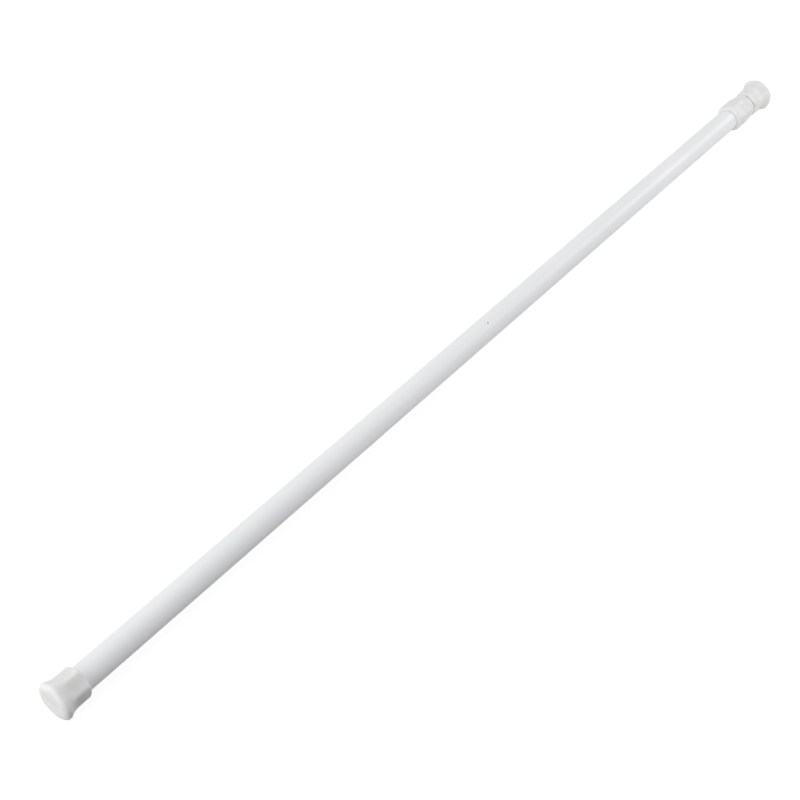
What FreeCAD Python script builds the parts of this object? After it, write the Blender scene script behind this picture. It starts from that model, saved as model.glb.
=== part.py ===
import FreeCAD, Part

import math
import os

import Sketcher

# A telescopic spring tension rod, closed to its shortest length and lying on its two feet.
# +X runs along the rod from the outer tube's foot to the inner tube's foot, +Z is up, and the
# origin is on the surface below the middle of the rod. All lengths are in millimetres.
#
# A plastic cam lock sits on the hidden end of the inner tube, inside the outer tube. Turning the
# inner tube swings an eccentric journal, which wedges its split ring against the outer tube. The
# lock hangs on a flatted spindle that slides in the inner tube's end bush against a long spring.

# Driving dimensions: name, value, what it is.
SIZES = [
    ("rod_length", 600.0, "foot face to foot face, closed"),
    ("outer_tube_diameter", 13.0, "outside of the outer tube"),
    ("outer_tube_wall", 0.5, "sheet thickness of the outer tube"),
    ("tube_gap", 1.0, "radial gap between the inner tube and the outer tube's bore"),
    ("inner_tube_wall", 0.5, "sheet thickness of the inner tube"),
    ("foot_across_flats", 19.2, "both feet, flat to opposite flat"),
    ("foot_corner_share", 0.78, "foot corner radius as a share of its inscribed radius"),
    ("foot_face_diameter", 12.0, "flat middle of the foot's face"),
    ("foot_face_corner_share", 0.92, "corner share at the flat middle of the face"),
    ("foot_dome_height", 2.2, "from the flat middle back to the widest rim"),
    ("foot_rim_width", 1.0, "straight band round the rim"),
    ("foot_rim_round", 1.2, "rounding of the edge where the flare starts"),
    ("flare_length", 5.4, "from the rim to the straight hexagonal sleeve"),
    ("cap_floor", 3.4, "solid end of a cap, in front of the tube"),
    ("cap_fit", 0.02, "radial gap between a cap or collar and its tube"),
    ("sleeve_corner_radius", 2.0, "rounding of the hexagon's corners"),
    ("mouth_inset", 0.25, "how far a sleeve's turned mouth lies inside its flats"),
    ("mouth_round", 0.5, "rounding of the mouth's edge"),
    ("outer_cap_length", 16.4, "cap on the outer tube"),
    ("outer_cap_wall", 1.03, "its sleeve, at the middle of a flat"),
    ("inner_cap_length", 17.4, "cap on the inner tube"),
    ("inner_cap_wall", 2.1, "its sleeve, at the middle of a flat"),
    ("cap_gap", 0.9, "between the collar's nose and the inner tube's cap"),
    ("collar_length", 19.3, "collar on the outer tube's mouth"),
    ("collar_wall", 1.03, "its hexagonal part, at the middle of a flat"),
    ("collar_nose_length", 7.6, "tapered part of the collar"),
    ("collar_nose_wall", 2.1, "end of the nose"),
    ("collar_nose_corner_share", 0.9, "corner share at the end of the nose"),
    ("collar_grip", 10.0, "length of outer tube held in the collar"),
    ("slide_clearance", 0.08, "radial clearance of every sliding or turning fit"),
    ("bead_depth", 0.4, "rolled bead in the inner tube"),
    ("bead_width", 2.4, "its width"),
    ("bead_clearance", 0.05, "round a bead, in the groove of the plug that it holds"),
    ("plug_fit", 0.02, "radial gap between a plug and the inner tube"),
    ("lock_end_gap", 2.6, "between the outer cap's floor and the lock"),
    ("ring_length", 9.0, "split locking ring"),
    ("ring_wedge_gap", 0.45, "radial gap between the free ring and the outer tube"),
    ("ring_slit", 1.4, "slit that lets the ring spring"),
    ("ring_groove_depth", 0.3, "grip grooves along the ring"),
    ("ring_groove_width", 0.7, "their width"),
    ("ring_end_play", 0.15, "gap at each end of the ring"),
    ("cam_offset", 0.5, "how far the journal stands off the rod's axis"),
    ("ring_wall", 2.15, "mean distance from the ring's skin to the eccentric journal in it"),
    ("cam_flange_gap", 0.7, "radial gap between the flange behind the ring and the outer tube"),
    ("cam_flange_length", 5.0, "its length"),
    ("spindle_diameter", 4.0, "steel spindle"),
    ("spindle_flat_depth", 0.4, "depth of its two flats"),
    ("spindle_fit", 0.02, "gap round the spindle where it is fixed"),
    ("spindle_depth", 4.2, "length of spindle held in the cam's flange and in the plunger"),
    ("pin_diameter", 1.5, "cross pins through the spindle"),
    ("pin_inset", 0.5, "how far a pin's ends lie below the surface round it"),
    ("pin_fit", 0.01, "radial gap round a pin"),
    ("washer_lip", 1.0, "how far the washer that keeps the ring on stands out from the journal"),
    ("washer_thickness", 0.8, "its thickness"),
    ("screw_diameter", 2.2, "screw through the washer"),
    ("screw_reach", 4.6, "length of screw in the journal"),
    ("screw_head_diameter", 4.0, "its head"),
    ("screw_head_height", 1.3, "its height"),
    ("screw_head_edge", 0.8, "height of the head's straight edge"),
    ("screw_head_top", 2.4, "diameter of the head's flat top"),
    ("screw_point_length", 0.55, "its blunt point"),
    ("screw_point_diameter", 1.1, "end of the point"),
    ("screw_slot_width", 0.6, "its slot"),
    ("screw_slot_depth", 0.6, "depth of the slot"),
    ("screw_fit", 0.02, "radial gap round the screw"),
    ("stroke", 20.0, "travel of the spring"),
    ("stroke_reserve", 1.5, "room left between the cam and the bush at full stroke"),
    ("bush_head_gap", 0.4, "radial gap between the end bush's head and the outer tube"),
    ("bush_head_length", 1.6, "its length"),
    ("neck_ledge", 0.25, "how far the bush's neck lies below the inner tube's skin"),
    ("bush_plug_length", 10.0, "part of the bush inside the inner tube"),
    ("glide_length", 8.0, "glide ring"),
    ("glide_end_play", 0.15, "gap at each end of the glide ring"),
    ("glide_slit", 1.0, "slit that lets it snap over the neck"),
    ("plunger_length", 5.0, "disc that carries the spring's moving end"),
    ("plunger_rest_gap", 0.1, "between the plunger and the bush"),
    ("spigot_gap", 0.2, "radial gap between the spring and the spigots that centre it"),
    ("spigot_length", 5.0, "length of the spigots"),
    ("lead_in", 0.3, "chamfer at the ends of plugs, rings and discs"),
    ("stop_length", 6.0, "disc that carries the spring's fixed end"),
    ("wire_diameter", 1.0, "spring wire"),
    ("spring_side_gap", 0.4, "radial gap between the spring and the inner tube"),
    ("coil_pitch", 5.4, "spring, turn to turn"),
    ("coil_turns", 12, "open turns"),
    ("closed_gap", 0.15, "gap between the closed turns at the spring's ends"),
    ("spring_seat_gap", 0.05, "between the spring and each seat"),
]

# Values that follow from the driving dimensions: name and formula.
PLACES = [
    ("axis_height", "=sizes.foot_across_flats / 2"),
    ("outer_face", "=-sizes.rod_length / 2"),
    ("inner_face", "=sizes.rod_length / 2"),
    ("outer_tube_start", "=outer_face + sizes.cap_floor"),
    ("collar_start", "=inner_face - sizes.inner_cap_length - sizes.cap_gap - sizes.collar_length"),
    ("outer_tube_end", "=collar_start + sizes.collar_grip"),
    ("outer_tube_bore", "=sizes.outer_tube_diameter - 2 * sizes.outer_tube_wall"),
    ("inner_tube_diameter", "=outer_tube_bore - 2 * sizes.tube_gap"),
    ("inner_tube_bore", "=inner_tube_diameter - 2 * sizes.inner_tube_wall"),
    ("outer_socket", "=sizes.outer_tube_diameter + 2 * sizes.cap_fit"),
    ("inner_socket", "=inner_tube_diameter + 2 * sizes.cap_fit"),
    ("outer_cap_across_flats", "=outer_socket + 2 * sizes.outer_cap_wall"),
    ("inner_cap_across_flats", "=inner_socket + 2 * sizes.inner_cap_wall"),
    ("collar_across_flats", "=outer_socket + 2 * sizes.collar_wall"),
    ("nose_bore", "=inner_tube_diameter + 2 * sizes.slide_clearance"),
    ("collar_nose_diameter", "=nose_bore + 2 * sizes.collar_nose_wall"),
    ("screw_start", "=outer_tube_start + sizes.lock_end_gap"),
    ("washer_start", "=screw_start + sizes.screw_head_height"),
    ("cam_start", "=washer_start + sizes.washer_thickness"),
    ("journal_length", "=sizes.ring_length + 2 * sizes.ring_end_play"),
    ("ring_start", "=cam_start + sizes.ring_end_play"),
    ("cam_end", "=cam_start + journal_length + sizes.cam_flange_length"),
    ("bush_start", "=cam_end + sizes.stroke + sizes.stroke_reserve"),
    ("neck_start", "=bush_start + sizes.bush_head_length"),
    ("neck_length", "=sizes.glide_length + 2 * sizes.glide_end_play"),
    ("inner_tube_start", "=neck_start + neck_length"),
    ("inner_tube_length", "=inner_face - sizes.cap_floor - inner_tube_start"),
    ("plunger_start", "=inner_tube_start + sizes.bush_plug_length + sizes.plunger_rest_gap"),
    ("spring_start", "=plunger_start + sizes.plunger_length + sizes.spring_seat_gap"),
    ("closed_pitch", "=sizes.wire_diameter + sizes.closed_gap"),
    ("coils_length", "=sizes.coil_turns * sizes.coil_pitch"),
    ("spring_length", "=coils_length + 2 * closed_pitch + sizes.wire_diameter"),
    ("stop_seat", "=spring_start + spring_length + sizes.spring_seat_gap"),
    ("stop_start", "=stop_seat - sizes.spigot_length"),
    ("spindle_start", "=cam_end - sizes.spindle_depth"),
    ("spindle_end", "=plunger_start + sizes.spindle_depth"),
    ("cam_pin_middle", "=cam_end - sizes.cam_flange_length / 2"),
    ("plunger_pin_middle", "=plunger_start + sizes.plunger_length / 2"),
    ("plug_diameter", "=inner_tube_bore - 2 * sizes.plug_fit"),
    ("sliding_disc_diameter", "=inner_tube_bore - 2 * sizes.slide_clearance"),
    ("bush_head_diameter", "=outer_tube_bore - 2 * sizes.bush_head_gap"),
    ("bush_neck_diameter", "=inner_tube_diameter - 2 * sizes.neck_ledge"),
    ("ring_diameter", "=outer_tube_bore - 2 * sizes.ring_wedge_gap"),
    ("journal_diameter", "=ring_diameter - 2 * sizes.ring_wall"),
    ("cam_flange_diameter", "=outer_tube_bore - 2 * sizes.cam_flange_gap"),
    ("washer_diameter", "=journal_diameter + 2 * sizes.washer_lip"),
    ("spindle_flats", "=sizes.spindle_diameter - 2 * sizes.spindle_flat_depth"),
    ("pin_hole", "=sizes.pin_diameter + 2 * sizes.pin_fit"),
    ("screw_hole", "=sizes.screw_diameter + 2 * sizes.screw_fit"),
    ("coil_diameter", "=inner_tube_bore - 2 * sizes.spring_side_gap - sizes.wire_diameter"),
    ("spigot_diameter", "=coil_diameter - sizes.wire_diameter - 2 * sizes.spigot_gap"),
]

# How a sketch numbers the points of a line or arc, its own axes and its origin.
START_INDEX = 1
END_INDEX = 2
CENTRE_INDEX = 3
H_AXIS_INDEX = -1
V_AXIS_INDEX = -2
ORIGIN_POINT = (H_AXIS_INDEX, START_INDEX)

SIDES = 6
SIDE_ANGLE = 360.0 / SIDES
FLARE_STEPS = 3
DOME_STEPS = 3
NOSE_STEPS = 3
GROOVE_COUNT = 8
NEAR_ZERO = 1e-9
PLANE_MARGIN = 1e-4
BORE_MARGIN = 0.01
# A cut through a whole round piece is this many times as long as the piece is wide.
OVERCUT = 2

doc = FreeCAD.newDocument("tension_rod")


def fill_sheet(name, rows):
    sheet = doc.addObject("Spreadsheet::Sheet", name)
    for number, row in enumerate(rows, start=1):
        sheet.set(f"A{number}", row[0])
        sheet.set(f"B{number}", str(row[1]))
        if len(row) > 2:
            sheet.set(f"C{number}", row[2])
        sheet.setAlias(f"B{number}", row[0])
    doc.recompute()
    return sheet


sizes = fill_sheet("sizes", SIZES)
places = fill_sheet("places", PLACES)


def amount(expression):
    result = sizes.evalExpression(expression)
    return float(getattr(result, "Value", result))


# Sketch helpers


def new_body(label, start, turned_round=False):
    body = doc.addObject("PartDesign::Body", label)
    body.Label = label
    if turned_round:
        half_turn = FreeCAD.Rotation(FreeCAD.Vector(0, 0, 1), 180)
        body.Placement = FreeCAD.Placement(FreeCAD.Vector(), half_turn)
    body.setExpression("Placement.Base.x", start)
    body.setExpression("Placement.Base.z", "places.axis_height")
    return body


def new_sketch(body, name, role, offset="0"):
    sketch = body.newObject("Sketcher::SketchObject", f"{body.Label}_{name}")
    planes = [item for item in body.Origin.OriginFeatures if item.Role == role]
    sketch.AttachmentSupport = [(planes[0], "")]
    sketch.MapMode = "FlatFace"
    sketch.setExpression("AttachmentOffset.Base.z", offset)
    return sketch


def bind(sketch, constraint, expression):
    index = sketch.addConstraint(constraint)
    name = f"size_{index}"
    sketch.renameConstraint(index, name)
    sketch.setExpression(f"Constraints.{name}", expression)


def hold_point(sketch, item, point, across, upward):
    for kind, axis, expression in (("DistanceX", V_AXIS_INDEX, across), ("DistanceY", H_AXIS_INDEX, upward)):
        value = amount(expression)
        if abs(value) < NEAR_ZERO:
            sketch.addConstraint(Sketcher.Constraint("PointOnObject", item, point, axis))
        else:
            constraint = Sketcher.Constraint(kind, *ORIGIN_POINT, item, point, value)
            bind(sketch, constraint, expression)


def draw_outline(sketch, points):
    spots = [FreeCAD.Vector(amount(across), amount(upward), 0) for across, upward in points]
    count = len(points)
    for index, spot in enumerate(spots):
        sketch.addGeometry(Part.LineSegment(spot, spots[(index + 1) % count]), False)
    for index in range(count):
        following = (index + 1) % count
        sketch.addConstraint(Sketcher.Constraint("Coincident", index, END_INDEX, following, START_INDEX))
    for index, (across, upward) in enumerate(points):
        hold_point(sketch, index, START_INDEX, across, upward)


def draw_circle(sketch, diameter, across="0", upward="0"):
    centre = FreeCAD.Vector(amount(across), amount(upward), 0)
    circle = Part.Circle(centre, FreeCAD.Vector(0, 0, 1), amount(diameter) / 2)
    index = sketch.addGeometry(circle, False)
    hold_point(sketch, index, CENTRE_INDEX, across, upward)
    bind(sketch, Sketcher.Constraint("Diameter", index, amount(diameter)), diameter)


def draw_flatted_circle(sketch, diameter, flats):
    radius = amount(diameter) / 2
    height = amount(flats) / 2
    reach = math.sqrt(radius ** 2 - height ** 2)
    tilt = math.asin(height / radius)
    circle = Part.Circle(FreeCAD.Vector(), FreeCAD.Vector(0, 0, 1), radius)
    corner = FreeCAD.Vector(reach, height, 0)
    opposite = FreeCAD.Vector(-reach, -height, 0)
    pieces = [
        Part.LineSegment(corner, FreeCAD.Vector(-reach, height, 0)),
        Part.ArcOfCircle(circle, math.pi - tilt, math.pi + tilt),
        Part.LineSegment(opposite, FreeCAD.Vector(reach, -height, 0)),
        Part.ArcOfCircle(circle, -tilt, tilt),
    ]
    sketch.addGeometry(pieces, False)
    top, left, bottom, right = range(len(pieces))
    for piece, following in ((top, left), (left, bottom), (bottom, right), (right, top)):
        sketch.addConstraint(Sketcher.Constraint("Coincident", piece, END_INDEX, following, START_INDEX))
    for arc in (left, right):
        sketch.addConstraint(Sketcher.Constraint("Coincident", arc, CENTRE_INDEX, *ORIGIN_POINT))
    for line in (top, bottom):
        sketch.addConstraint(Sketcher.Constraint("Horizontal", line))
    bind(sketch, Sketcher.Constraint("Diameter", right, 2 * radius), diameter)
    upper = Sketcher.Constraint("DistanceY", *ORIGIN_POINT, top, START_INDEX, height)
    bind(sketch, upper, f"({flats}) / 2")
    lower = Sketcher.Constraint("DistanceY", *ORIGIN_POINT, bottom, START_INDEX, -height)
    bind(sketch, lower, f"-({flats}) / 2")


def direction(degrees):
    return FreeCAD.Vector(math.cos(math.radians(degrees)), math.sin(math.radians(degrees)), 0)


def draw_rounded_hexagon(sketch, flats, corner_radius):
    # Sides and corner arcs alternate anticlockwise, starting with the flat on top.
    apothem = amount(flats) / 2
    rounding = amount(corner_radius)
    half_side = (apothem - rounding) * math.tan(math.radians(SIDE_ANGLE / 2))
    corner_reach = (apothem - rounding) / math.cos(math.radians(SIDE_ANGLE / 2))
    for side in range(SIDES):
        facing = 90 + SIDE_ANGLE * side
        middle = direction(facing) * apothem
        along = direction(facing + 90)
        sketch.addGeometry(Part.LineSegment(middle - along * half_side, middle + along * half_side), False)
        centre = direction(facing + SIDE_ANGLE / 2) * corner_reach
        circle = Part.Circle(centre, FreeCAD.Vector(0, 0, 1), rounding)
        sweep = (math.radians(facing), math.radians(facing + SIDE_ANGLE))
        sketch.addGeometry(Part.ArcOfCircle(circle, *sweep), False)
    count = 2 * SIDES
    for index in range(count):
        following = (index + 1) % count
        sketch.addConstraint(Sketcher.Constraint("Tangent", index, END_INDEX, following, START_INDEX))
    first_arc = 1
    bind(sketch, Sketcher.Constraint("Radius", first_arc, rounding), corner_radius)
    for side in range(1, SIDES):
        sketch.addConstraint(Sketcher.Constraint("Equal", first_arc, first_arc + 2 * side))
    for side in range(SIDES):
        line = 2 * side
        bind(sketch, Sketcher.Constraint("Distance", *ORIGIN_POINT, line, apothem), f"({flats}) / 2")
        if side % (SIDES // 2) == 0:
            sketch.addConstraint(Sketcher.Constraint("Horizontal", line))
        else:
            slope = (180 + SIDE_ANGLE * side + 180) % 360 - 180
            sketch.addConstraint(Sketcher.Constraint("Angle", line, math.radians(slope)))


# Feature helpers


def pad(body, name, sketch, length):
    feature = body.newObject("PartDesign::Pad", f"{body.Label}_{name}")
    feature.Profile = (sketch, [""])
    feature.setExpression("Length", length)
    return feature


def pocket(body, name, sketch, length, both_ways=False):
    # Cuts towards the sketch plane's back, or evenly to both sides of it.
    feature = body.newObject("PartDesign::Pocket", f"{body.Label}_{name}")
    feature.Profile = (sketch, [""])
    feature.setExpression("Length", length)
    if both_ways:
        feature.Midplane = True
    return feature


def turn(body, points):
    # Revolves an outline of (along, radius) points about the rod's axis.
    sketch = new_sketch(body, "outline", "XZ_Plane")
    draw_outline(sketch, points)
    feature = body.newObject("PartDesign::Revolution", f"{body.Label}_turned")
    feature.Profile = (sketch, [""])
    feature.ReferenceAxis = (sketch, ["H_Axis"])
    feature.Angle = 360.0
    return feature


def chamfered_rod(start, end, radius):
    # Outline of a round rod from its axis, chamfered at both ends, in growing distance.
    chamfer = "sizes.lead_in"
    return [
        (start, "0"), (start, f"{radius} - {chamfer}"), (f"{start} + {chamfer}", radius),
        (f"{end} - {chamfer}", radius), (end, f"{radius} - {chamfer}"), (end, "0"),
    ]


def loft(body, name, stations):
    # Skins rounded hexagons given as (along, across flats, corner radius).
    sketches = []
    for number, (along, flats, corner_radius) in enumerate(stations):
        sketch = new_sketch(body, f"{name}_{number}", "YZ_Plane", along)
        draw_rounded_hexagon(sketch, flats, corner_radius)
        sketches.append(sketch)
    feature = body.newObject("PartDesign::AdditiveLoft", f"{body.Label}_{name}")
    feature.Profile = (sketches[0], [""])
    feature.Sections = [(sketch, [""]) for sketch in sketches[1:]]
    return feature


def hexagonal_pad(body, name, station, length):
    along, flats, corner_radius = station
    sketch = new_sketch(body, f"{name}_outline", "YZ_Plane", along)
    draw_rounded_hexagon(sketch, flats, corner_radius)
    return pad(body, name, sketch, length)


def round_bore(body, name, mouth, length, diameter, upward="0"):
    sketch = new_sketch(body, f"{name}_outline", "YZ_Plane", mouth)
    draw_circle(sketch, diameter, upward=upward)
    return pocket(body, name, sketch, length)


def cross_hole(body, name, along, through):
    # A cross pin's hole, up and down through the rod's axis and a piece of that width.
    sketch = new_sketch(body, f"{name}_outline", "XY_Plane")
    draw_circle(sketch, "places.pin_hole", across=along)
    return pocket(body, name, sketch, f"{through} * {OVERCUT}", both_ways=True)


def turn_mouth(body, mouth, inward, flats):
    # Turns the corners off the hexagon's open end at 45 degrees, as on a nut, up to a round mouth.
    start = f"({flats} / 2 - sizes.mouth_inset)"
    depth = f"({flats} / 2 / cos({SIDE_ANGLE / 2}) - {start})"
    sketch = new_sketch(body, "mouth_outline", "XZ_Plane")
    draw_outline(sketch, [
        (mouth, start), (mouth, f"{start} + {depth}"), (f"{mouth} {inward} {depth}", f"{start} + {depth}"),
    ])
    feature = body.newObject("PartDesign::Groove", f"{body.Label}_turned_mouth")
    feature.Profile = (sketch, [""])
    feature.ReferenceAxis = (sketch, ["H_Axis"])
    feature.Angle = 360.0
    return feature


def fillet_edges(body, name, radius, wanted):
    doc.recompute()
    base = body.Tip
    names = [f"Edge{number}" for number, edge in enumerate(base.Shape.Edges, start=1) if wanted(edge)]
    feature = body.newObject("PartDesign::Fillet", f"{body.Label}_{name}")
    feature.Base = (base, names)
    feature.setExpression("Radius", radius)
    return feature


def outer_edges_at(along, inside):
    # Tells the edges in the plane at that distance, apart from those of a bore this wide.
    bore_reach = amount(inside) / 2 + BORE_MARGIN
    plane = amount(along)

    def wanted(edge):
        points = [vertex.Point for vertex in edge.Vertexes]
        flat = all(abs(point.x - plane) < PLANE_MARGIN for point in points)
        return flat and all(math.hypot(point.y, point.z) > bore_reach for point in points)

    return wanted


# Sub-parts of the outer tube


def dome_stations():
    # Hexagons from the flat middle of the face out to the widest rim, on a quarter ellipse.
    foot = "sizes.foot_across_flats"
    face = "sizes.foot_face_diameter"
    face_share = "sizes.foot_face_corner_share"
    stations = []
    for step in range(DOME_STEPS + 1):
        turn_share = 90.0 * step / DOME_STEPS
        along = f"sizes.foot_dome_height * (1 - cos({turn_share}))"
        flats = f"{face} + ({foot} - {face}) * sin({turn_share})"
        share = f"({face_share} + (sizes.foot_corner_share - {face_share}) * {step / DOME_STEPS})"
        stations.append((along, flats, f"({flats}) / 2 * {share}"))
    return stations


def flare_stations(sleeve_flats):
    # Hexagons from the rim in to the sleeve, on a parabola that runs out along the sleeve.
    foot = "sizes.foot_across_flats"
    rim_corner = f"{foot} / 2 * sizes.foot_corner_share"
    stations = []
    for step in range(FLARE_STEPS + 1):
        done = step / FLARE_STEPS
        left = (1 - done) ** 2
        along = f"sizes.foot_dome_height + sizes.foot_rim_width + sizes.flare_length * {done}"
        flats = f"{sleeve_flats} + ({foot} - {sleeve_flats}) * {left}"
        corner = f"{rim_corner} + (sizes.sleeve_corner_radius - {rim_corner}) * {1 - left}"
        stations.append((along, flats, corner))
    return stations


def make_cap(label, length, sleeve_flats, socket, face, turned_round):
    body = new_body(label, face, turned_round)
    dome = dome_stations()
    flare = flare_stations(sleeve_flats)
    loft(body, "dome", dome)
    hexagonal_pad(body, "rim", dome[-1], "sizes.foot_rim_width")
    loft(body, "flare", flare)
    fillet_edges(body, "rim_edge", "sizes.foot_rim_round", outer_edges_at(flare[0][0], "0"))
    hexagonal_pad(body, "sleeve", flare[-1], f"{length} - ({flare[-1][0]})")
    turn_mouth(body, length, "-", sleeve_flats)
    round_bore(body, "socket", length, f"{length} - sizes.cap_floor", socket)
    fillet_edges(body, "mouth", "sizes.mouth_round", outer_edges_at(length, socket))
    return body


def make_outer_end_cap():
    return make_cap("outer_end_cap", "sizes.outer_cap_length", "places.outer_cap_across_flats",
                    "places.outer_socket", "places.outer_face", False)


def make_outer_tube():
    body = new_body("outer_tube", "places.outer_tube_start")
    length = "places.outer_tube_end - places.outer_tube_start"
    inside = "places.outer_tube_bore / 2"
    outside = "sizes.outer_tube_diameter / 2"
    turn(body, [("0", inside), (length, inside), (length, outside), ("0", outside)])
    return body


def nose_stations(straight):
    # Hexagons from the collar's straight part to the rounder end of its nose.
    flats = "places.collar_across_flats"
    nose = "places.collar_nose_diameter"
    corner = "sizes.sleeve_corner_radius"
    nose_corner = f"{nose} / 2 * sizes.collar_nose_corner_share"
    stations = []
    for step in range(NOSE_STEPS + 1):
        done = step / NOSE_STEPS
        along = f"{straight} + sizes.collar_nose_length * {done}"
        narrowed = f"{flats} + ({nose} - {flats}) * {done}"
        stations.append((along, narrowed, f"{corner} + ({nose_corner} - {corner}) * {done}"))
    return stations


def make_tube_collar():
    body = new_body("tube_collar", "places.collar_start")
    straight = "(sizes.collar_length - sizes.collar_nose_length)"
    first = ("0", "places.collar_across_flats", "sizes.sleeve_corner_radius")
    hexagonal_pad(body, "grip", first, straight)
    turn_mouth(body, "0", "+", "places.collar_across_flats")
    loft(body, "nose", nose_stations(straight))
    round_bore(body, "nose_bore", "sizes.collar_length", "sizes.collar_length", "places.nose_bore")
    round_bore(body, "socket", "sizes.collar_grip", "sizes.collar_grip", "places.outer_socket")
    fillet_edges(body, "mouth", "sizes.mouth_round", outer_edges_at("0", "places.outer_socket"))
    fillet_edges(body, "tip", "sizes.mouth_round", outer_edges_at("sizes.collar_length", "places.nose_bore"))
    return body


# Sub-parts of the inner tube


def bead_outline(middle, radius, depth, width):
    # A shallow trapezoid sunk into a cylinder of that radius, in growing distance.
    return [
        (f"{middle} - {width} / 2", radius),
        (f"{middle} - {width} / 4", f"{radius} - {depth}"),
        (f"{middle} + {width} / 4", f"{radius} - {depth}"),
        (f"{middle} + {width} / 2", radius),
    ]


def bead_middles():
    # Distances from the inner tube's hidden end to the middle of each rolled bead.
    bush_bead = "sizes.bush_plug_length / 2"
    stop_bead = "(places.stop_seat - places.inner_tube_start + sizes.stop_length / 2)"
    return bush_bead, stop_bead


def make_inner_tube():
    body = new_body("inner_tube", "places.inner_tube_start")
    inside = "places.inner_tube_bore / 2"
    outside = "places.inner_tube_diameter / 2"
    length = "places.inner_tube_length"
    bore_side = [("0", inside)]
    skin_side = [("0", outside)]
    for middle in bead_middles():
        bore_side += bead_outline(middle, inside, "sizes.bead_depth", "sizes.bead_width")
        skin_side += bead_outline(middle, outside, "sizes.bead_depth", "sizes.bead_width")
    bore_side.append((length, inside))
    skin_side.append((length, outside))
    turn(body, bore_side + skin_side[::-1])
    return body


def make_inner_end_cap():
    return make_cap("inner_end_cap", "sizes.inner_cap_length", "places.inner_cap_across_flats",
                    "places.inner_socket", "places.inner_face", True)


def plug_groove(middle):
    # The groove of a plug that a rolled bead of the tube grips.
    depth = "(sizes.bead_depth + sizes.bead_clearance)"
    width = "(sizes.bead_width + 2 * sizes.bead_clearance)"
    return bead_outline(middle, "places.plug_diameter / 2", depth, width)


def make_end_bush():
    body = new_body("end_bush", "places.bush_start")
    head = "places.bush_head_diameter / 2"
    neck = "places.bush_neck_diameter / 2"
    plug = "places.plug_diameter / 2"
    tube_end = "(places.inner_tube_start - places.bush_start)"
    length = f"({tube_end} + sizes.bush_plug_length)"
    turn(body, [
        ("0", "0"), ("0", f"{head} - sizes.lead_in"), ("sizes.lead_in", head),
        ("sizes.bush_head_length", head), ("sizes.bush_head_length", neck),
        (tube_end, neck), (tube_end, plug), *plug_groove(f"{tube_end} + sizes.bush_plug_length / 2"),
        (f"{length} - sizes.lead_in", plug), (length, f"{plug} - sizes.lead_in"), (length, "0"),
    ])
    sketch = new_sketch(body, "bore_outline", "YZ_Plane", length)
    clearance = "2 * sizes.slide_clearance"
    draw_flatted_circle(sketch, f"sizes.spindle_diameter + {clearance}",
                        f"places.spindle_flats + {clearance}")
    pocket(body, "bore", sketch, length)
    return body


def make_spring_stop():
    body = new_body("spring_stop", "places.stop_start")
    spigot = "places.spigot_diameter / 2"
    plug = "places.plug_diameter / 2"
    seat = "sizes.spigot_length"
    length = f"({seat} + sizes.stop_length)"
    turn(body, [
        ("0", "0"), ("0", f"{spigot} - sizes.lead_in"), ("sizes.lead_in", spigot),
        (seat, spigot), (seat, plug), *plug_groove(f"{seat} + sizes.stop_length / 2"),
        (f"{length} - sizes.lead_in", plug), (length, f"{plug} - sizes.lead_in"), (length, "0"),
    ])
    return body


def make_coil_spring():
    # Open turns between one closed turn at each end, all swept from the same plane.
    body = new_body("coil_spring", "places.spring_start")
    centre = "sizes.wire_diameter / 2"
    runs = [
        ("first_turn", centre, "places.closed_pitch", "places.closed_pitch"),
        ("open_turns", f"{centre} + places.closed_pitch", "sizes.coil_pitch", "places.coils_length"),
        ("last_turn", f"{centre} + places.closed_pitch + places.coils_length",
         "places.closed_pitch", "places.closed_pitch"),
    ]
    for name, along, pitch, height in runs:
        sketch = new_sketch(body, f"{name}_wire", "XZ_Plane")
        draw_circle(sketch, "sizes.wire_diameter", across=along, upward="places.coil_diameter / 2")
        helix = body.newObject("PartDesign::AdditiveHelix", f"{body.Label}_{name}")
        helix.Profile = (sketch, [""])
        helix.ReferenceAxis = (sketch, ["H_Axis"])
        helix.Mode = 0
        helix.setExpression("Pitch", pitch)
        helix.setExpression("Height", height)
    return body


# Glide ring


def cut_slit(body, width, reach):
    # A slit along the whole ring, through its upper wall.
    sketch = new_sketch(body, "slit_outline", "YZ_Plane", reach)
    side = f"({width}) / 2"
    top = "sizes.outer_tube_diameter"
    draw_outline(sketch, [(f"-{side}", "0"), (side, "0"), (side, top), (f"-{side}", top)])
    return pocket(body, "slit", sketch, reach)


def make_glide_ring():
    body = new_body("glide_ring", "places.neck_start + sizes.glide_end_play")
    length = "sizes.glide_length"
    turn(body, chamfered_rod("0", length, "(places.outer_tube_bore / 2 - sizes.slide_clearance)"))
    round_bore(body, "bore", length, length, "places.bush_neck_diameter + 2 * sizes.slide_clearance")
    cut_slit(body, "sizes.glide_slit", length)
    return body


# Lock


def make_lock_spindle():
    body = new_body("lock_spindle", "places.spindle_start")
    sketch = new_sketch(body, "outline", "YZ_Plane")
    draw_flatted_circle(sketch, "sizes.spindle_diameter", "places.spindle_flats")
    pad(body, "rod", sketch, "places.spindle_end - places.spindle_start")
    for name, middle in (("cam", "places.cam_pin_middle"), ("plunger", "places.plunger_pin_middle")):
        cross_hole(body, f"{name}_pin_hole", f"({middle} - places.spindle_start)", "sizes.spindle_diameter")
    return body


def blind_spindle_bore(body, mouth):
    sketch = new_sketch(body, "spindle_bore_outline", "YZ_Plane", mouth)
    gap = "2 * sizes.spindle_fit"
    draw_flatted_circle(sketch, f"sizes.spindle_diameter + {gap}", f"places.spindle_flats + {gap}")
    return pocket(body, "spindle_bore", sketch, "sizes.spindle_depth")


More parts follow.
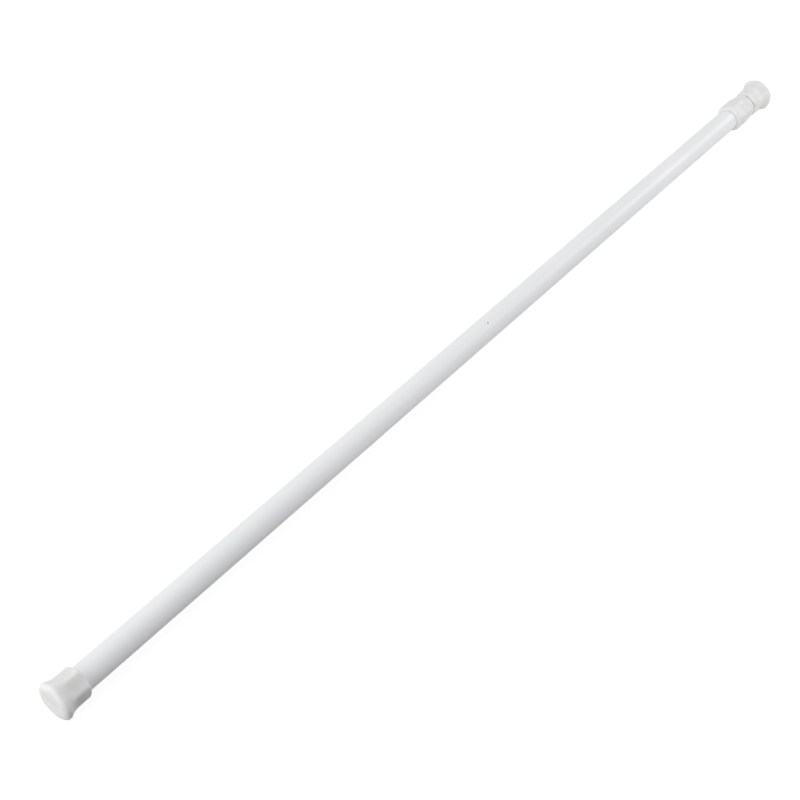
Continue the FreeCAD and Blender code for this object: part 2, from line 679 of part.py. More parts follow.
def make_cam_core():
    body = new_body("cam_core", "places.cam_start")
    length = "(places.journal_length + sizes.cam_flange_length)"
    turn(body, chamfered_rod("places.journal_length", length, "places.cam_flange_diameter / 2"))
    journal = new_sketch(body, "journal_outline", "YZ_Plane")
    draw_circle(journal, "places.journal_diameter", upward="sizes.cam_offset")
    pad(body, "journal", journal, "places.journal_length")
    blind_spindle_bore(body, length)
    cross_hole(body, "pin_hole", "(places.cam_pin_middle - places.cam_start)", "places.cam_flange_diameter")
    round_bore(body, "screw_hole", "sizes.screw_reach", "sizes.screw_reach", "places.screw_hole",
               "sizes.cam_offset")
    return body


def make_spring_plunger():
    body = new_body("spring_plunger", "places.plunger_start")
    disc = "places.sliding_disc_diameter / 2"
    spigot = "places.spigot_diameter / 2"
    length = "(sizes.plunger_length + sizes.spigot_length)"
    turn(body, [
        ("0", "0"), ("0", f"{disc} - sizes.lead_in"), ("sizes.lead_in", disc),
        ("sizes.plunger_length", disc), ("sizes.plunger_length", spigot),
        (f"{length} - sizes.lead_in", spigot), (length, f"{spigot} - sizes.lead_in"), (length, "0"),
    ])
    blind_spindle_bore(body, "sizes.spindle_depth")
    cross_hole(body, "pin_hole", "sizes.plunger_length / 2", "places.sliding_disc_diameter")
    return body


def make_lock_ring():
    body = new_body("lock_ring", "places.ring_start")
    length = "sizes.ring_length"
    turn(body, chamfered_rod("0", length, "places.ring_diameter / 2"))
    bore = "places.journal_diameter + 2 * sizes.slide_clearance"
    round_bore(body, "bore", length, length, bore, "sizes.cam_offset")
    cut_slit(body, "sizes.ring_slit", length)
    groove = new_sketch(body, "grip_outline", "YZ_Plane", length)
    side = "sizes.ring_groove_width / 2"
    floor = "(places.ring_diameter / 2 - sizes.ring_groove_depth)"
    top = "(places.ring_diameter / 2 + sizes.ring_groove_depth)"
    draw_outline(groove, [(floor, f"-{side}"), (top, f"-{side}"), (top, side), (floor, side)])
    cut = pocket(body, "grip", groove, length)
    pattern = body.newObject("PartDesign::PolarPattern", "lock_ring_grips")
    pattern.Originals = [cut]
    pattern.Axis = (groove, ["N_Axis"])
    pattern.Angle = 360.0
    pattern.Occurrences = GROOVE_COUNT
    body.Tip = pattern
    return body


def make_cam_washer():
    body = new_body("cam_washer", "places.washer_start")
    sketch = new_sketch(body, "outline", "YZ_Plane")
    draw_circle(sketch, "places.washer_diameter", upward="sizes.cam_offset")
    draw_circle(sketch, "places.screw_hole", upward="sizes.cam_offset")
    pad(body, "disc", sketch, "sizes.washer_thickness")
    return body


def make_cam_screw():
    body = new_body("cam_screw", "places.screw_start")
    body.setExpression("Placement.Base.z", "places.axis_height + sizes.cam_offset")
    head = "sizes.screw_head_diameter / 2"
    shank = "sizes.screw_diameter / 2"
    under_head = "sizes.screw_head_height"
    hole_floor = f"({under_head} + sizes.washer_thickness + sizes.screw_reach)"
    tip = f"({hole_floor} - sizes.screw_point_length)"
    turn(body, [
        ("0", "0"), ("0", "sizes.screw_head_top / 2"), (f"{under_head} - sizes.screw_head_edge", head),
        (under_head, head), (under_head, shank), (f"{tip} - sizes.screw_point_length", shank),
        (tip, "sizes.screw_point_diameter / 2"), (tip, "0"),
    ])
    sketch = new_sketch(body, "slot_outline", "YZ_Plane", "sizes.screw_slot_depth")
    side = "sizes.screw_slot_width / 2"
    end = "sizes.screw_head_diameter"
    draw_outline(sketch, [(f"-{end}", f"-{side}"), (end, f"-{side}"), (end, side), (f"-{end}", side)])
    pocket(body, "slot", sketch, "sizes.screw_slot_depth")
    return body


def make_pin(label, middle, length):
    pin = doc.addObject("Part::Cylinder", label)
    pin.Label = label
    pin.setExpression("Radius", "sizes.pin_diameter / 2")
    pin.setExpression("Height", length)
    pin.setExpression("Placement.Base.x", middle)
    pin.setExpression("Placement.Base.z", f"places.axis_height - ({length}) / 2")
    return pin


def make_cam_pin():
    return make_pin("cam_pin", "places.cam_pin_middle",
                    "places.cam_flange_diameter - 2 * sizes.pin_inset")


def make_plunger_pin():
    return make_pin("plunger_pin", "places.plunger_pin_middle",
                    "places.sliding_disc_diameter - 2 * sizes.pin_inset")


def check(subparts):
    for item in doc.Objects:
        if "Invalid" in item.State or "Error" in item.State:
            raise RuntimeError(f"{item.Label} did not compute: {item.State}")
    for subpart in subparts:
        shape = subpart.Shape
        if shape.isNull() or not shape.isValid() or len(shape.Solids) != 1:
            raise RuntimeError(f"{subpart.Label} is not one valid solid")


def export(subparts):
    os.makedirs("parts", exist_ok=True)
    for subpart in subparts:
        subpart.Shape.exportStep(os.path.join("parts", f"{subpart.Label}.step"))


subparts = [
    make_outer_tube(),
    make_outer_end_cap(),
    make_tube_collar(),
    make_inner_tube(),
    make_inner_end_cap(),
    make_end_bush(),
    make_spring_stop(),
    make_coil_spring(),
    make_glide_ring(),
    make_lock_spindle(),
    make_cam_core(),
    make_spring_plunger(),
    make_lock_ring(),
    make_cam_washer(),
    make_cam_screw(),
    make_cam_pin(),
    make_plunger_pin(),
]
doc.recompute()
check(subparts)
export(subparts)
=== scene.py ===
import math

import bpy
from bpy.props import FloatProperty, FloatVectorProperty, PointerProperty
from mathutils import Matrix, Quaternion, Vector


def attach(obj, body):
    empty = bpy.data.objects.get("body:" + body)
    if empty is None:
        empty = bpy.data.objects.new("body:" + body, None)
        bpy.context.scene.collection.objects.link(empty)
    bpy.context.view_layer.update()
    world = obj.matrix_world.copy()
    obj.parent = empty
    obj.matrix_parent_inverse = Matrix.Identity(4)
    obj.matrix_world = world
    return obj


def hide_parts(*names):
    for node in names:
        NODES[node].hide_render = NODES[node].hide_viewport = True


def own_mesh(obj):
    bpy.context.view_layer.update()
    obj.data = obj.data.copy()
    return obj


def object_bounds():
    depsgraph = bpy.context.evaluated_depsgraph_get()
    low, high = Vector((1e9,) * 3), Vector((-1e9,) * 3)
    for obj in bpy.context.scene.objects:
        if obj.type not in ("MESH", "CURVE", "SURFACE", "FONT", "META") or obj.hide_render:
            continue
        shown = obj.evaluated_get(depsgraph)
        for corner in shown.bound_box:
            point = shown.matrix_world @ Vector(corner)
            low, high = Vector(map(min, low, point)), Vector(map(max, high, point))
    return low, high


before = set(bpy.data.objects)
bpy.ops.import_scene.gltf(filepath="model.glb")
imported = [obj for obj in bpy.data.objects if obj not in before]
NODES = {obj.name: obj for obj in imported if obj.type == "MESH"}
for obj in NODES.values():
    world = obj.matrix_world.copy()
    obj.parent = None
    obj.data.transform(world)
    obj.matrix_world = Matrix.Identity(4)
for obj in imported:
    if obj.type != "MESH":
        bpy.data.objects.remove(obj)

bl_info = {
    "name": "Spring tension rod",
    "version": (1, 0, 0),
    "blender": (4, 5, 0),
    "location": "View3D > Sidebar > Tension rod",
    "description": "Finishes, camera and studio light for a white telescopic tension rod",
    "category": "Object",
}

CAD_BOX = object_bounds()

# Pieces of like finish
TUBES = ("outer_tube", "inner_tube")
CAPS = ("outer_end_cap", "inner_end_cap", "tube_collar")
NYLON_PIECES = ("end_bush", "spring_stop", "glide_ring", "cam_core", "spring_plunger")
RING_PIECES = ("lock_ring",)
PLATED_PIECES = ("lock_spindle", "cam_washer", "cam_screw", "cam_pin", "plunger_pin")

# The spring, and the body that carries its fixed end
SPRING = "coil_spring"
SPRING_BODY = "inner"

# Part of the noise's range over which one colour drifts into the other
DRIFT_LOW = 0.35
DRIFT_HIGH = 0.65
# Layers of finer noise in each pattern
DRIFT_DETAIL = 3.0
WAVE_DETAIL = 1.0
GRAIN_DETAIL = 2.0
# How alike a surface's normal and its rounded normal are, as a cosine: away from edges, and at an
# edge that counts as fully sharp
FLAT_LIKENESS = 1.0
SHARP_LIKENESS = 0.93
EDGE_SAMPLES = 8
# Share of a speck's radius that is fully dark
SPECK_CORE = 0.45
# Red, green and blue go equally deep into plastic and nylon, so thin walls stay neutral
EVEN_SCATTER = (1.0, 1.0, 1.0)
WHITE = (1.0, 1.0, 1.0, 1.0)
LINE_OF_SIGHT = (0.0, 0.0, 1.0)


def colour_property(name, description, default):
    return FloatVectorProperty(
        name=name, description=description, subtype="COLOR", size=3, min=0.0, max=1.0, default=default)


def place_property(name, description, default):
    return FloatVectorProperty(
        name=name, description=description, subtype="XYZ", unit="LENGTH", size=3, default=default)


def angle_property(name, description, degrees):
    return FloatProperty(
        name=name, description=description, subtype="ANGLE", default=math.radians(degrees))


def share_property(name, description, default):
    return FloatProperty(
        name=name, description=description, subtype="FACTOR", min=0.0, max=1.0, default=default)


def lamp_size(name, description, default):
    return FloatProperty(name=name, description=description, unit="LENGTH", min=0.01, default=default)


def lamp_power(name, description, default):
    return FloatProperty(name=name, description=description, unit="POWER", min=0.0, default=default)


class RodColours(bpy.types.PropertyGroup):
    """Colours and marks of the rod's finishes"""

    enamel: colour_property("Tube enamel", "Satin white enamel of both tubes", (0.873, 0.878, 0.893))
    enamel_shade: colour_property(
        "Enamel shade", "Slightly duller patches of the enamel", (0.848, 0.855, 0.873))
    cap: colour_property(
        "Cap plastic", "Soft white plastic of the end caps and the collar", (0.83, 0.83, 0.83))
    cap_tint: colour_property("Cap tint", "Slightly warmer patches of the plastic", (0.775, 0.773, 0.762))
    nylon: colour_property("Nylon", "Natural nylon of the bush, plugs and cam", (0.78, 0.76, 0.70))
    nylon_tint: colour_property("Nylon tint", "Slightly yellower patches of the nylon", (0.76, 0.73, 0.64))
    ring: colour_property("Ring nylon", "Grey nylon of the locking ring", (0.30, 0.31, 0.33))
    ring_scuff: colour_property("Ring scuff", "Paler scuffs on the locking ring", (0.36, 0.37, 0.38))
    plated: colour_property("Plated steel", "Zinc plated spindle, pins, washer and screw", (0.70, 0.71, 0.72))
    plated_bloom: colour_property("Plating bloom", "Duller bloom on the zinc", (0.60, 0.62, 0.65))
    spring: colour_property("Spring steel", "Drawn spring wire", (0.45, 0.46, 0.48))
    spring_oil: colour_property("Spring oil", "Darker oiled patches of the wire", (0.36, 0.36, 0.37))
    # Pale edges, partly a painted highlight: on the caps they stand in for light catching the thin rims and
    # ridges.
    edge: colour_property(
        "Pale edges", "Plastic and nylon along edges, where they are thin or rubbed", (0.94, 0.94, 0.935))
    bright_edge: colour_property("Bright edges", "Bare metal along edges", (0.86, 0.86, 0.86))
    # Painted shade: the floor's unseen colour is dark under the near end, so less light bounces onto the
    # rod's near underside.
    floor_near_shade: colour_property(
        "Floor near", "Floor as it lights the near end from below", (0.20, 0.20, 0.20))
    floor_far: colour_property("Floor far", "Floor as it lights the far end from below", (0.97, 0.97, 0.97))
    speck: colour_property("Paint speck", "Tiny dark speck in the enamel", (0.10, 0.09, 0.12))
    speck_place: place_property(
        "Speck place", "Where the speck lies on the outer tube", (0.0092, -0.0042, 0.0146))
    speck_radius: FloatProperty(
        name="Speck radius", description="From the speck's middle to its faint rim", unit="LENGTH",
        min=0.0001, default=0.00055)


class RodStage(bpy.types.PropertyGroup):
    """Camera, lamps, floor and room"""

    camera_azimuth: angle_property("Camera azimuth", "0 looks along +Y, 90 along -X", -38.86)
    camera_elevation: angle_property("Camera elevation", "How far the camera looks down", 28.55)
    camera_roll: angle_property("Camera roll", "Turn about the line of sight", -19.769)
    camera_place: place_property("Camera place", "Where the camera stands", (-0.5075, -0.55269, 0.39736))
    lens: FloatProperty(
        name="Lens", description="Focal length in millimetres", unit="CAMERA", min=10.0, default=70.95)
    floor_size: FloatProperty(name="Floor size", description="Side of the floor", unit="LENGTH", default=16.0)
    floor_glow: share_property(
        "Floor glow", "Share of white that the floor shows to the camera by itself", 0.9)
    floor_shadow: share_property(
        "Floor shadow", "How strongly the floor shows light and shadow to the camera", 0.18)
    room_light: FloatProperty(
        name="Room light", description="Even light from all round", min=0.0, default=0.622)
    key_place: place_property("Key place", "Middle of the large lamp above the rod", (-0.8, 0.45, 0.95))
    key_size: lamp_size("Key size", "Side of the large lamp", 0.9)
    key_power: lamp_power("Key power", "Power of the large lamp", 5.2)
    fill_place: place_property("Fill place", "Middle of the lamp beyond the far end", (1.7, -1.1, 0.68))
    fill_size: lamp_size("Fill size", "Side of the lamp beyond the far end", 0.8)
    fill_power: lamp_power("Fill power", "Power of the lamp beyond the far end", 10.6)
    end_place: place_property(
        "End place", "Middle of the lamp in front of the near foot", (-2.0, -0.25, 0.18))
    end_size: lamp_size("End size", "Side of the lamp in front of the near foot", 0.8)
    end_power: lamp_power("End power", "Power of the lamp in front of the near foot", 14.2)


# Node helpers


def opaque(colour):
    return (*colour, 1.0)


def live(sockets, name):
    # A mix node has a socket of each name for every kind of data, and only one of them is in use.
    return next(socket for socket in sockets if socket.name == name and socket.enabled)


def feed(tree, source, socket):
    # The source is another node's output, or a constant.
    if isinstance(source, bpy.types.NodeSocket):
        tree.links.new(source, socket)
    else:
        socket.default_value = source


def step(tree, node_type, operation, first, second, result):
    node = tree.nodes.new(node_type)
    node.operation = operation
    feed(tree, first, node.inputs[0])
    feed(tree, second, node.inputs[1])
    return node.outputs[result]


def number_step(tree, operation, first, second):
    return step(tree, "ShaderNodeMath", operation, first, second, "Value")


def vector_step(tree, operation, first, second, result="Vector"):
    return step(tree, "ShaderNodeVectorMath", operation, first, second, result)


def spread(tree, value, low, high):
    # Stretches the range from low to high over the whole range from 0 to 1.
    node = tree.nodes.new("ShaderNodeMapRange")
    node.inputs["From Min"].default_value = low
    node.inputs["From Max"].default_value = high
    tree.links.new(value, node.inputs["Value"])
    return node.outputs["Result"]


def mixed(tree, kind, mask, first, second):
    node = tree.nodes.new("ShaderNodeMix")
    node.data_type = kind
    for name, source in (("Factor", mask), ("A", first), ("B", second)):
        feed(tree, source, live(node.inputs, name))
    return live(node.outputs, "Result")


def own_coordinates(tree, lengthwise):
    # The piece's own coordinates, in metres, multiplied along the rod by the given socket.
    place = tree.nodes.new("ShaderNodeTexCoord")
    stretch = tree.nodes.new("ShaderNodeCombineXYZ")
    tree.links.new(lengthwise, stretch.inputs["X"])
    stretch.inputs["Y"].default_value = 1.0
    stretch.inputs["Z"].default_value = 1.0
    return vector_step(tree, "MULTIPLY", place.outputs["Object"], stretch.outputs["Vector"])


def clouds(tree, coordinates, scale, detail):
    texture = tree.nodes.new("ShaderNodeTexNoise")
    texture.inputs["Detail"].default_value = detail
    tree.links.new(coordinates, texture.inputs["Vector"])
    tree.links.new(scale, texture.inputs["Scale"])
    return texture.outputs["Fac"]


def seen_directly(tree):
    # One where the camera, a reflection or a transmission looks, and nothing where light bounces.
    path = tree.nodes.new("ShaderNodeLightPath")
    seen = path.outputs["Is Camera Ray"]
    for ray in ("Is Glossy Ray", "Is Transmission Ray"):
        seen = number_step(tree, "MAXIMUM", seen, path.outputs[ray])
    return seen


def lit_and_seen(tree, lit, seen):
    # One shader gives the light that bounces, and the other is what is looked at.
    choice = tree.nodes.new("ShaderNodeMixShader")
    share, where_lit, where_seen = choice.inputs
    tree.links.new(seen_directly(tree), share)
    tree.links.new(lit, where_lit)
    tree.links.new(seen, where_seen)
    return choice.outputs["Shader"]


# Shared effects


def new_group(name, inputs, outputs):
    group = bpy.data.node_groups.new(name, "ShaderNodeTree")
    for label, kind in inputs:
        group.interface.new_socket(label, in_out="INPUT", socket_type=kind)
    for label, kind in outputs:
        group.interface.new_socket(label, in_out="OUTPUT", socket_type=kind)
    return group, group.nodes.new("NodeGroupInput"), group.nodes.new("NodeGroupOutput")


def place_group(material, name, values):
    node = material.node_tree.nodes.new("ShaderNodeGroup")
    node.node_tree = bpy.data.node_groups[name]
    for label, value in values.items():
        node.inputs[label].default_value = value
    return node


def make_drift_group():
    # Two close colours, and two roughnesses, that drift into each other over the surface.
    group, entry, leave = new_group(
        "surface_drift",
        [
            ("First colour", "NodeSocketColor"),
            ("Second colour", "NodeSocketColor"),
            ("Scale", "NodeSocketFloat"),
            ("Lengthwise", "NodeSocketFloat"),
            ("Smoothest", "NodeSocketFloat"),
            ("Roughest", "NodeSocketFloat"),
        ],
        [("Colour", "NodeSocketColor"), ("Roughness", "NodeSocketFloat")],
    )
    place = own_coordinates(group, entry.outputs["Lengthwise"])
    noise = clouds(group, place, entry.outputs["Scale"], DRIFT_DETAIL)
    mask = spread(group, noise, DRIFT_LOW, DRIFT_HIGH)
    colour = mixed(group, "RGBA", mask, entry.outputs["First colour"], entry.outputs["Second colour"])
    roughness = mixed(group, "FLOAT", mask, entry.outputs["Smoothest"], entry.outputs["Roughest"])
    group.links.new(colour, leave.inputs["Colour"])
    group.links.new(roughness, leave.inputs["Roughness"])


def make_edge_group():
    # The given share along edges, and nothing on flats and gentle curves.
    group, entry, leave = new_group(
        "edge_mask",
        [("Width", "NodeSocketFloat"), ("Share", "NodeSocketFloat")],
        [("Mask", "NodeSocketFloat")],
    )
    rounded = group.nodes.new("ShaderNodeBevel")
    rounded.samples = EDGE_SAMPLES
    group.links.new(entry.outputs["Width"], rounded.inputs["Radius"])
    surface = group.nodes.new("ShaderNodeNewGeometry")
    likeness = vector_step(
        group, "DOT_PRODUCT", rounded.outputs["Normal"], surface.outputs["Normal"], "Value")
    sharpness = spread(group, likeness, FLAT_LIKENESS, SHARP_LIKENESS)
    mask = number_step(group, "MULTIPLY", sharpness, entry.outputs["Share"])
    group.links.new(mask, leave.inputs["Mask"])


def make_grain_group():
    # Height of a fine skin: slow waves and fine grain, each with its own share.
    group, entry, leave = new_group(
        "skin_grain",
        [
            ("Wave scale", "NodeSocketFloat"),
            ("Grain scale", "NodeSocketFloat"),
            ("Grain share", "NodeSocketFloat"),
            ("Lengthwise", "NodeSocketFloat"),
        ],
        [("Height", "NodeSocketFloat")],
    )
    place = own_coordinates(group, entry.outputs["Lengthwise"])
    waves = clouds(group, place, entry.outputs["Wave scale"], WAVE_DETAIL)
    grain = clouds(group, place, entry.outputs["Grain scale"], GRAIN_DETAIL)
    height = mixed(group, "FLOAT", entry.outputs["Grain share"], waves, grain)
    group.links.new(height, leave.inputs["Height"])


# Materials: scales count patches per metre, and widths, depths and relief are in metres


def finished_material(name, *, drift, edge_colour, edges, grain, bump_metres, shader_values):
    """A material whose colour, roughness, edges and relief come from the shared effects."""
    material = bpy.data.materials.new(name)
    material.use_nodes = True
    tree = material.node_tree
    shader = tree.nodes["Principled BSDF"]
    for label, value in shader_values.items():
        shader.inputs[label].default_value = value
    surface = place_group(material, "surface_drift", drift)
    edge = place_group(material, "edge_mask", edges)
    # Along edges the edge colour, which on the caps' plastic is partly a painted highlight.
    colour = mixed(tree, "RGBA", edge.outputs["Mask"], surface.outputs["Colour"], opaque(edge_colour))
    tree.links.new(colour, shader.inputs["Base Color"])
    tree.links.new(surface.outputs["Roughness"], shader.inputs["Roughness"])
    relief = place_group(material, "skin_grain", grain)
    bump = tree.nodes.new("ShaderNodeBump")
    bump.inputs["Strength"].default_value = 1.0
    bump.inputs["Distance"].default_value = bump_metres
    tree.links.new(relief.outputs["Height"], bump.inputs["Height"])
    tree.links.new(bump.outputs["Normal"], shader.inputs["Normal"])
    return material


def add_speck(material, colour, place, radius):
    # A fleck in the finish, dark at its core and soft at its rim.
    tree = material.node_tree
    shader = tree.nodes["Principled BSDF"]
    coordinates = tree.nodes.new("ShaderNodeTexCoord")
    away = vector_step(tree, "DISTANCE", coordinates.outputs["Object"], place, "Value")
    mask = spread(tree, away, radius, radius * SPECK_CORE)
    finish = shader.inputs["Base Color"].links[0].from_socket
    tree.links.new(mixed(tree, "RGBA", mask, finish, opaque(colour)), shader.inputs["Base Color"])


def dress(names, material):
    for name in names:
        NODES[name].data.materials.clear()
        NODES[name].data.materials.append(material)


class ROD_OT_dress_tubes(bpy.types.Operator):
    """Enamel on the outer and the inner tube"""

    bl_idname = "rod.dress_tubes"
    bl_label = "Dress the tubes"

    def execute(self, context):
        colours = context.scene.rod_colours
        enamel = finished_material(
            "tube_enamel",
            drift={
                "First colour": opaque(colours.enamel),
                "Second colour": opaque(colours.enamel_shade),
                "Scale": 40.0,
                "Lengthwise": 0.35,
                "Smoothest": 0.36,
                "Roughest": 0.46,
            },
            edge_colour=colours.bright_edge,
            edges={"Width": 0.0004, "Share": 0.5},
            grain={"Wave scale": 260.0, "Grain scale": 1500.0, "Grain share": 0.25, "Lengthwise": 0.6},
            bump_metres=0.00004,
            shader_values={"Specular IOR Level": 0.45, "Coat Weight": 0.15, "Coat Roughness": 0.3},
        )
        add_speck(enamel, colours.speck, colours.speck_place, colours.speck_radius)
        dress(TUBES, enamel)
        return {"FINISHED"}


class ROD_OT_dress_caps(bpy.types.Operator):
    """Soft plastic on both end caps and the collar"""

    bl_idname = "rod.dress_caps"
    bl_label = "Dress the caps"

    def execute(self, context):
        colours = context.scene.rod_colours
        plastic = finished_material(
            "cap_plastic",
            drift={
                "First colour": opaque(colours.cap),
                "Second colour": opaque(colours.cap_tint),
                "Scale": 210.0,
                "Lengthwise": 1.0,
                "Smoothest": 0.42,
                "Roughest": 0.6,
            },
            # Pale edges on the caps: a painted highlight along rims and ridges.
            edge_colour=colours.edge,
            edges={"Width": 0.0007, "Share": 0.9},
            grain={"Wave scale": 220.0, "Grain scale": 2200.0, "Grain share": 0.35, "Lengthwise": 1.0},
            bump_metres=0.00006,
            shader_values={
                "Subsurface Weight": 0.25,
                "Subsurface Scale": 0.0015,
                "Subsurface Radius": EVEN_SCATTER,
                "Specular IOR Level": 0.4,
            },
        )
        dress(CAPS, plastic)
        return {"FINISHED"}


class ROD_OT_dress_lock(bpy.types.Operator):
    """Nylon and plated steel on the pieces inside"""

    bl_idname = "rod.dress_lock"
    bl_label = "Dress the lock"

    def execute(self, context):
        colours = context.scene.rod_colours
        nylon = finished_material(
            "lock_nylon",
            drift={
                "First colour": opaque(colours.nylon),
                "Second colour": opaque(colours.nylon_tint),
                "Scale": 220.0,
                "Lengthwise": 1.0,
                "Smoothest": 0.38,
                "Roughest": 0.55,
            },
            edge_colour=colours.edge,
            edges={"Width": 0.0005, "Share": 0.4},
            grain={"Wave scale": 300.0, "Grain scale": 2500.0, "Grain share": 0.4, "Lengthwise": 1.0},
            bump_metres=0.00005,
            shader_values={
                "Subsurface Weight": 0.15,
                "Subsurface Scale": 0.0015,
                "Subsurface Radius": EVEN_SCATTER,
            },
        )
        grey_nylon = finished_material(
            "ring_nylon",
            drift={
                "First colour": opaque(colours.ring),
                "Second colour": opaque(colours.ring_scuff),
                "Scale": 260.0,
                "Lengthwise": 0.3,
                "Smoothest": 0.4,
                "Roughest": 0.6,
            },
            edge_colour=colours.edge,
            edges={"Width": 0.0004, "Share": 0.25},
            grain={"Wave scale": 350.0, "Grain scale": 2600.0, "Grain share": 0.5, "Lengthwise": 0.4},
            bump_metres=0.00005,
            shader_values={"Specular IOR Level": 0.45},
        )
        plated_steel = finished_material(
            "plated_steel",
            drift={
                "First colour": opaque(colours.plated),
                "Second colour": opaque(colours.plated_bloom),
                "Scale": 300.0,
                "Lengthwise": 1.0,
                "Smoothest": 0.22,
                "Roughest": 0.42,
            },
            edge_colour=colours.bright_edge,
            edges={"Width": 0.0003, "Share": 0.6},
            grain={"Wave scale": 900.0, "Grain scale": 4000.0, "Grain share": 0.5, "Lengthwise": 0.2},
            bump_metres=0.00001,
            shader_values={"Metallic": 1.0},
        )
        dress(NYLON_PIECES, nylon)
        dress(RING_PIECES, grey_nylon)
        dress(PLATED_PIECES, plated_steel)
        return {"FINISHED"}


class ROD_OT_fit_spring(bpy.types.Operator):
    """Drawn wire spring, carried by the inner body"""

    bl_idname = "rod.fit_spring"
    bl_label = "Fit the spring"

    def execute(self, context):
        colours = context.scene.rod_colours
        wire = finished_material(
            "spring_steel",
            drift={
                "First colour": opaque(colours.spring),
                "Second colour": opaque(colours.spring_oil),
                "Scale": 180.0,
                "Lengthwise": 1.0,
                "Smoothest": 0.2,
                "Roughest": 0.38,
            },
            edge_colour=colours.bright_edge,
            edges={"Width": 0.0002, "Share": 0.3},
            grain={"Wave scale": 700.0, "Grain scale": 4500.0, "Grain share": 0.5, "Lengthwise": 1.0},
            bump_metres=0.00001,
            shader_values={"Metallic": 1.0},
        )
        # The same coils as a piece of their own, carried by the inner body.
        coils = bpy.data.objects.new("spring_coils", NODES[SPRING].data.copy())
        context.scene.collection.objects.link(coils)
        coils.data.materials.clear()
        coils.data.materials.append(wire)
        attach(coils, SPRING_BODY)
        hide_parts(SPRING)
        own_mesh(coils)
        return {"FINISHED"}


# Stage


def make_floor_material(stage, colours):
    # Lit as a graded surface, greyer under the near end as painted shade that bounces less light onto the
    # rod's near end, and shown to the camera as nearly white.
    material = bpy.data.materials.new("pale_floor")
    material.use_nodes = True
    tree = material.node_tree
    tree.nodes.clear()
    place = tree.nodes.new("ShaderNodeTexCoord")
    parts = tree.nodes.new("ShaderNodeSeparateXYZ")
    tree.links.new(place.outputs["Object"], parts.inputs["Vector"])
    (near_end, _, _), (far_end, _, _) = CAD_BOX
    share = spread(tree, parts.outputs["X"], near_end, far_end)
    graded = mixed(tree, "RGBA", share, opaque(colours.floor_near_shade), opaque(colours.floor_far))
    lit = tree.nodes.new("ShaderNodeBsdfDiffuse")
    tree.links.new(graded, lit.inputs["Color"])
    faint = tree.nodes.new("ShaderNodeBsdfDiffuse")
    faint.inputs["Color"].default_value = opaque([stage.floor_shadow] * 3)
    glow = tree.nodes.new("ShaderNodeEmission")
    glow.inputs["Strength"].default_value = stage.floor_glow
    seen = tree.nodes.new("ShaderNodeAddShader")
    tree.links.new(faint.outputs["BSDF"], seen.inputs[0])
    tree.links.new(glow.outputs["Emission"], seen.inputs[1])
    leave = tree.nodes.new("ShaderNodeOutputMaterial")
    surface = lit_and_seen(tree, lit.outputs["BSDF"], seen.outputs["Shader"])
    tree.links.new(surface, leave.inputs["Surface"])
    return material


def make_world(stage):
    # Gives the room's light, and is looked at as plain white.
    world = bpy.data.worlds.new("white_room")
    world.use_nodes = True
    bpy.context.scene.world = world
    tree = world.node_tree
    tree.nodes.clear()
    lit = tree.nodes.new("ShaderNodeBackground")
    lit.inputs["Strength"].default_value = stage.room_light
    seen = tree.nodes.new("ShaderNodeBackground")
    for background in (lit, seen):
        background.inputs["Color"].default_value = WHITE
    leave = tree.nodes.new("ShaderNodeOutputWorld")
    surroundings = lit_and_seen(tree, lit.outputs["Background"], seen.outputs["Background"])
    tree.links.new(surroundings, leave.inputs["Surface"])


def add_lamp(name, place, size, power):
    # A square lamp that faces the middle of the frame, and isn't seen itself.
    light = bpy.data.lights.new(name, "AREA")
    light.size = size
    light.energy = power
    lamp = bpy.data.objects.new(name, light)
    bpy.context.scene.collection.objects.link(lamp)
    lamp.location = place
    lamp.rotation_mode = "QUATERNION"
    lamp.rotation_quaternion = Vector(place).to_track_quat("Z", "Y")
    lamp.visible_camera = False


def add_camera(stage):
    data = bpy.data.cameras.new("photo_camera")
    data.lens = stage.lens
    camera = bpy.data.objects.new("photo_camera", data)
    bpy.context.scene.collection.objects.link(camera)
    level = math.cos(stage.camera_elevation)
    backwards = Vector((
        math.sin(stage.camera_azimuth) * level,
        -math.cos(stage.camera_azimuth) * level,
        math.sin(stage.camera_elevation),
    ))
    camera.location = stage.camera_place
    camera.rotation_mode = "QUATERNION"
    roll = Quaternion(LINE_OF_SIGHT, stage.camera_roll)
    camera.rotation_quaternion = backwards.to_track_quat("Z", "Y") @ roll
    bpy.context.scene.camera = camera


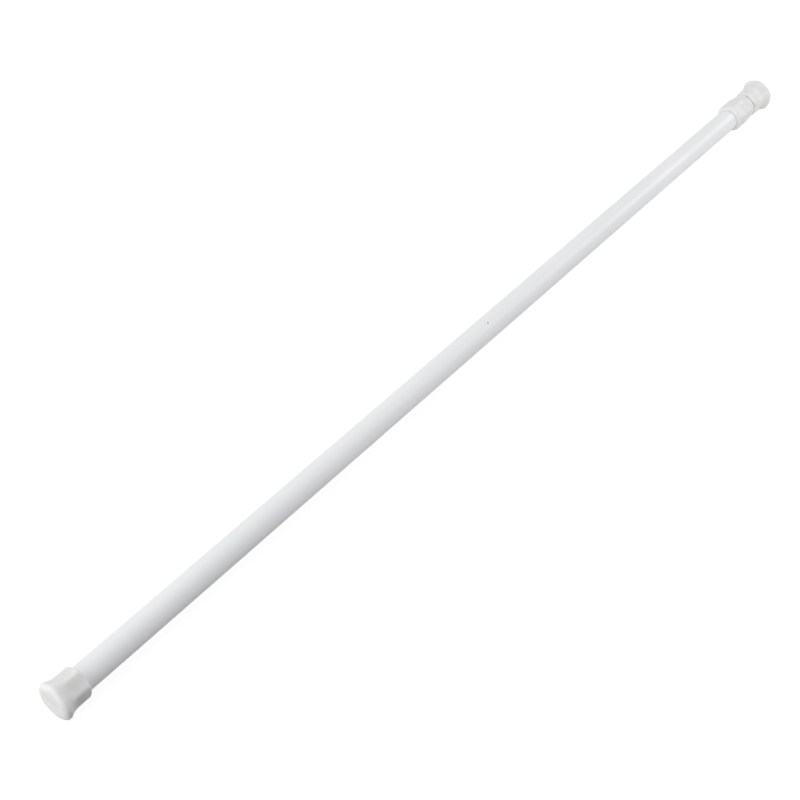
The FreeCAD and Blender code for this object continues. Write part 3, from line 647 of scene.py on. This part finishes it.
class ROD_OT_set_stage(bpy.types.Operator):
    """Pale floor, soft lamps, white room and the camera"""

    bl_idname = "rod.set_stage"
    bl_label = "Set the stage"

    def execute(self, context):
        stage = context.scene.rod_stage
        bpy.ops.mesh.primitive_plane_add(size=stage.floor_size)
        floor = context.object
        floor.name = "floor"
        floor.data.materials.append(make_floor_material(stage, context.scene.rod_colours))
        make_world(stage)
        add_lamp("key_lamp", stage.key_place, stage.key_size, stage.key_power)
        add_lamp("fill_lamp", stage.fill_place, stage.fill_size, stage.fill_power)
        add_lamp("end_lamp", stage.end_place, stage.end_size, stage.end_power)
        add_camera(stage)
        context.scene.view_settings.view_transform = "Standard"
        return {"FINISHED"}


# Panel and registration


class ROD_PT_panel(bpy.types.Panel):
    """Lists the rod's steps, colours and stage"""

    bl_idname = "ROD_PT_panel"
    bl_label = "Tension rod"
    bl_space_type = "VIEW_3D"
    bl_region_type = "UI"
    bl_category = "Tension rod"

    def draw(self, context):
        column = self.layout.column()
        for operator in OPERATORS:
            column.operator(operator.bl_idname)
        for group in (context.scene.rod_colours, context.scene.rod_stage):
            for name in group.bl_rna.properties.keys():
                if name not in ("rna_type", "name"):
                    column.prop(group, name)


OPERATORS = (ROD_OT_dress_tubes, ROD_OT_dress_caps, ROD_OT_dress_lock, ROD_OT_fit_spring, ROD_OT_set_stage)
CLASSES = (RodColours, RodStage, *OPERATORS, ROD_PT_panel)


def register():
    for item in CLASSES:
        bpy.utils.register_class(item)
    bpy.types.Scene.rod_colours = PointerProperty(type=RodColours)
    bpy.types.Scene.rod_stage = PointerProperty(type=RodStage)


def unregister():
    del bpy.types.Scene.rod_stage
    del bpy.types.Scene.rod_colours
    for item in reversed(CLASSES):
        bpy.utils.unregister_class(item)


def main():
    register()
    make_drift_group()
    make_edge_group()
    make_grain_group()
    bpy.ops.rod.dress_tubes()
    bpy.ops.rod.dress_caps()
    bpy.ops.rod.dress_lock()
    bpy.ops.rod.fit_spring()
    bpy.ops.rod.set_stage()


if __name__ == "__main__":
    main()
